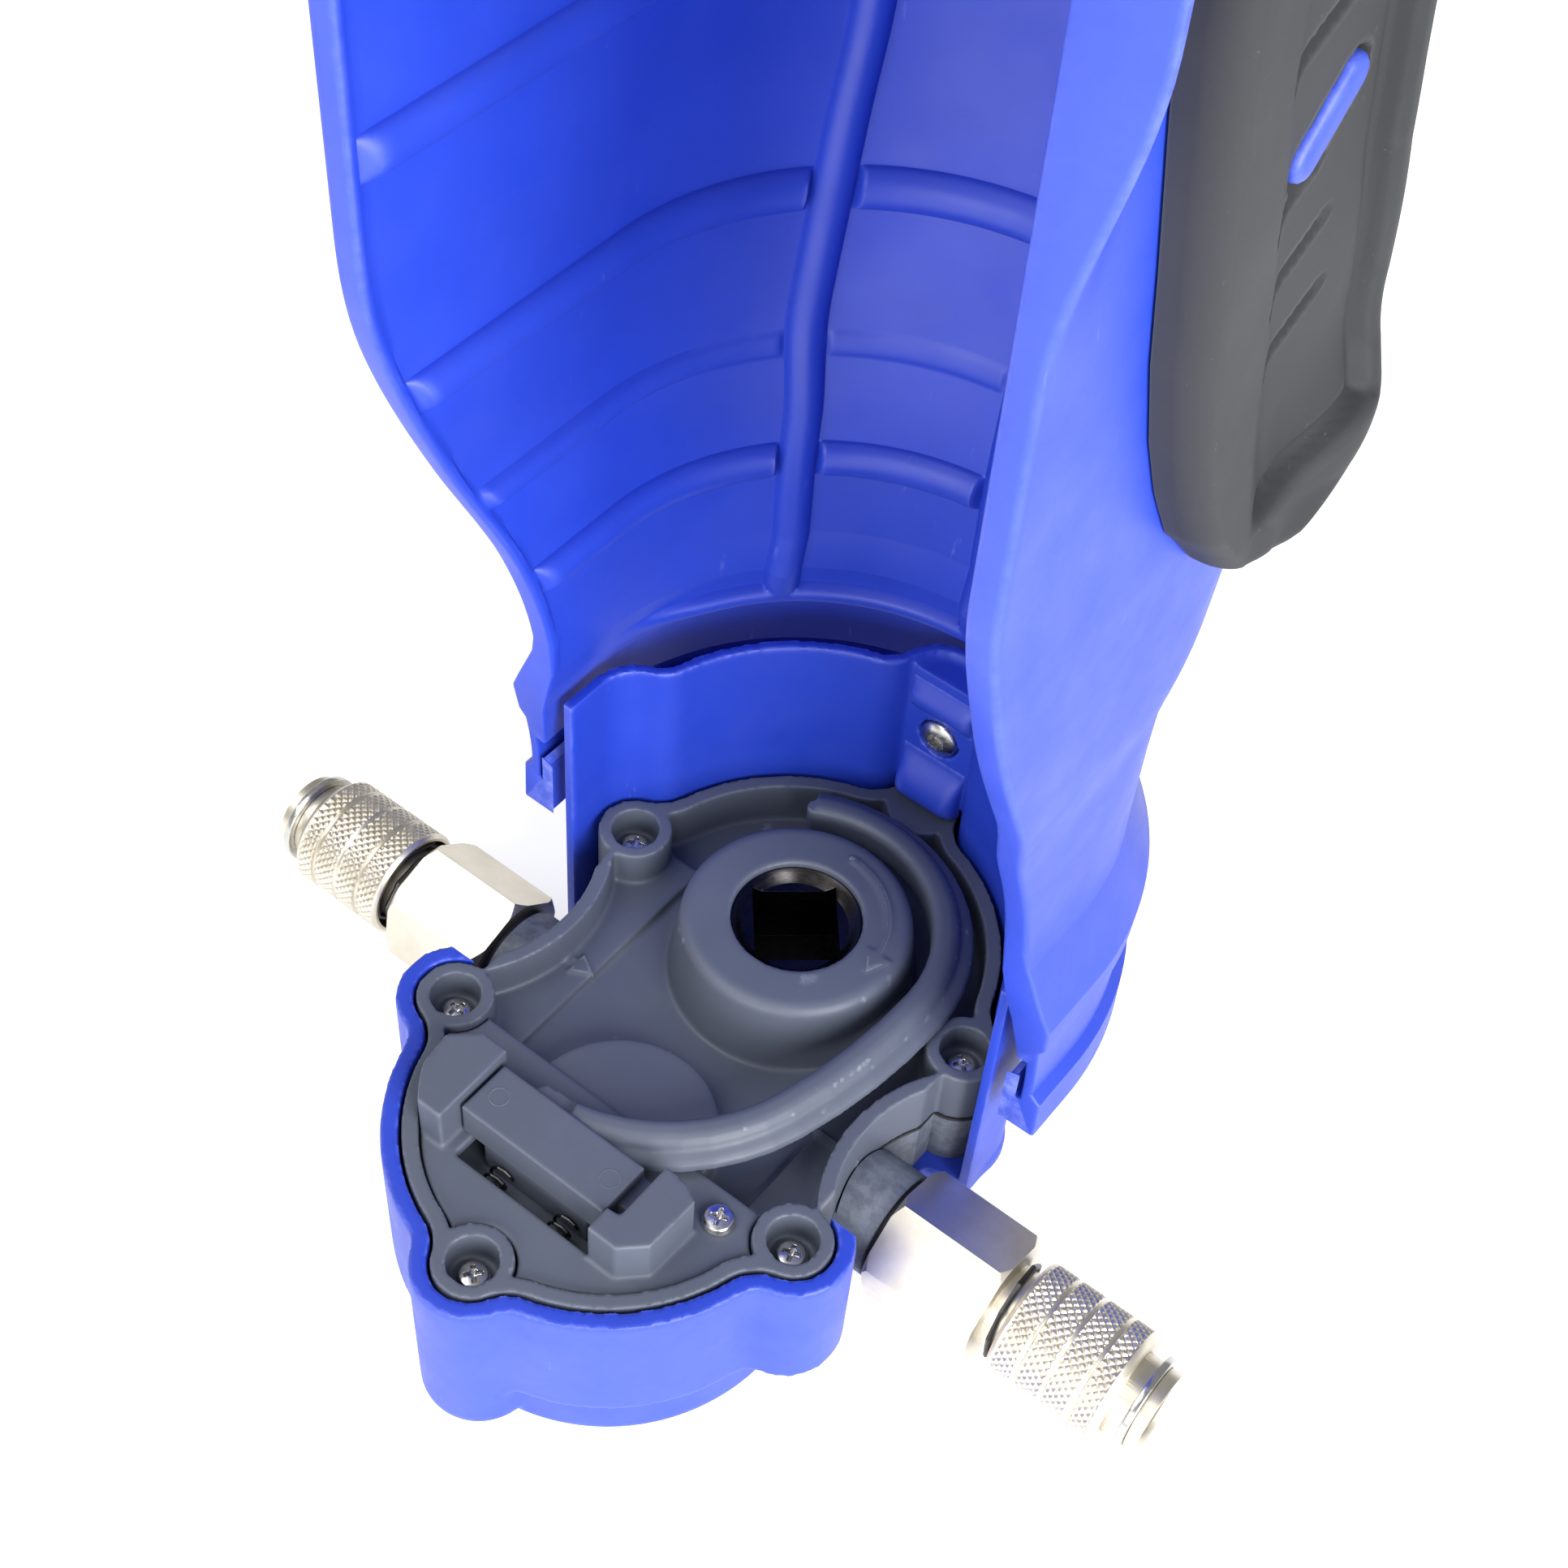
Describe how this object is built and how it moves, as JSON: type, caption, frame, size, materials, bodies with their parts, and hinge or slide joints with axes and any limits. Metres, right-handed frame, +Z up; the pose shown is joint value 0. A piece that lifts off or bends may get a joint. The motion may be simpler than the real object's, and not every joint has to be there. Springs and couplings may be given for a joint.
{
  "type": "tool-driven gear pump head",
  "caption": "Tool-driven gear pump with a square drive socket, two quick couplers and an open rear cradle shell that takes the driving tool's nose.",
  "frame": {"origin": "on the base plane, directly below the drive shaft axis", "axes": "+Z up along the drive shaft, +X from the inlet coupler to the outlet coupler, -Y towards the pump's nose and the open front of the shell"},
  "size_m": [0.166, 0.1374, 0.242],
  "materials": {
    "blue_plastic": "fine moulded grain, saturated blue",
    "grey_plastic": "fine moulded grain, slate grey",
    "grip_rubber": "soft matte black overmould",
    "seal_rubber": "smooth black",
    "screw_steel": "bright stainless",
    "gear_steel": "ground steel",
    "dark_steel": "black oxide",
    "bronze": "turned bronze",
    "spring_steel": "drawn wire",
    "nickel_brass": "bright nickel plate"
  },
  "bodies": {
    "housing": {"rear_shell": "blue_plastic", "shell_screw": "screw_steel", "grip_pad_left": "grip_rubber", "grip_pad_right": "grip_rubber", "lower_cup": "blue_plastic", "pump_body": "grey_plastic", "chamber_gasket": "seal_rubber", "pump_cover": "grey_plastic", "cover_screws": "screw_steel", "drive_bush_upper": "bronze", "drive_bush_lower": "bronze", "driven_bush_upper": "bronze", "driven_bush_lower": "bronze", "shaft_seal": "seal_rubber", "latch_plate": "grey_plastic", "latch_plate_screw": "screw_steel", "latch_spring_left": "spring_steel", "latch_spring_right": "spring_steel", "port_washer_in": "seal_rubber", "port_washer_out": "seal_rubber", "coupler_body_in": "nickel_brass", "coupler_body_out": "nickel_brass", "sleeve_spring_in": "spring_steel", "sleeve_spring_out": "spring_steel", "locking_balls_in": "screw_steel", "locking_balls_out": "screw_steel", "retaining_ring_in": "spring_steel", "retaining_ring_out": "spring_steel", "plug_seal_in": "seal_rubber", "plug_seal_out": "seal_rubber", "valve_spring_in": "spring_steel", "valve_spring_out": "spring_steel", "spring_stop_in": "bronze", "spring_stop_out": "bronze"},
    "drive": {"drive_shaft": "dark_steel", "drive_gear": "gear_steel", "drive_lock_pin": "gear_steel"},
    "driven": {"driven_shaft": "gear_steel", "driven_gear": "gear_steel"},
    "latch": {"latch_slider": "grey_plastic"},
    "sleeve_in": {"coupler_sleeve_in": "nickel_brass"},
    "sleeve_out": {"coupler_sleeve_out": "nickel_brass"},
    "valve_in": {"valve_poppet_in": "bronze"},
    "valve_out": {"valve_poppet_out": "bronze"}
  },
  "joints": [
    {"name": "drive_spin", "type": "hinge", "parent": "housing", "child": "drive", "pos_m": [0, 0, 0.0176], "axis": [0, 0, 1], "continuous": true},
    {"name": "driven_spin", "type": "hinge", "parent": "housing", "child": "driven", "pos_m": [0, -0.0425, 0.0176], "axis": [0, 0, 1], "continuous": true},
    {"name": "latch_slide", "type": "slide", "parent": "housing", "child": "latch", "axis": [0, -1, 0], "range_m": [0, 0.002], "stiffness_N_per_m": 600, "springref_m": -0.002, "deforming": ["latch_spring_left", "latch_spring_right"]},
    {"name": "sleeve_in_slide", "type": "slide", "parent": "housing", "child": "sleeve_in", "axis": [1, 0, 0], "range_m": [0, 0.002], "stiffness_N_per_m": 900, "springref_m": -0.002, "deforming": ["sleeve_spring_in"]},
    {"name": "valve_in_slide", "type": "slide", "parent": "housing", "child": "valve_in", "axis": [1, 0, 0], "range_m": [0, 0.003], "stiffness_N_per_m": 300, "springref_m": -0.001, "deforming": ["valve_spring_in"]},
    {"name": "sleeve_out_slide", "type": "slide", "parent": "housing", "child": "sleeve_out", "axis": [-1, 0, 0], "range_m": [0, 0.002], "stiffness_N_per_m": 900, "springref_m": -0.002, "deforming": ["sleeve_spring_out"]},
    {"name": "valve_out_slide", "type": "slide", "parent": "housing", "child": "valve_out", "axis": [-1, 0, 0], "range_m": [0, 0.003], "stiffness_N_per_m": 300, "springref_m": -0.001, "deforming": ["valve_spring_out"]}
  ],
  "couplings": [
    {"joint": "driven_spin", "follows": "drive_spin", "ratio": -1}
  ]
}
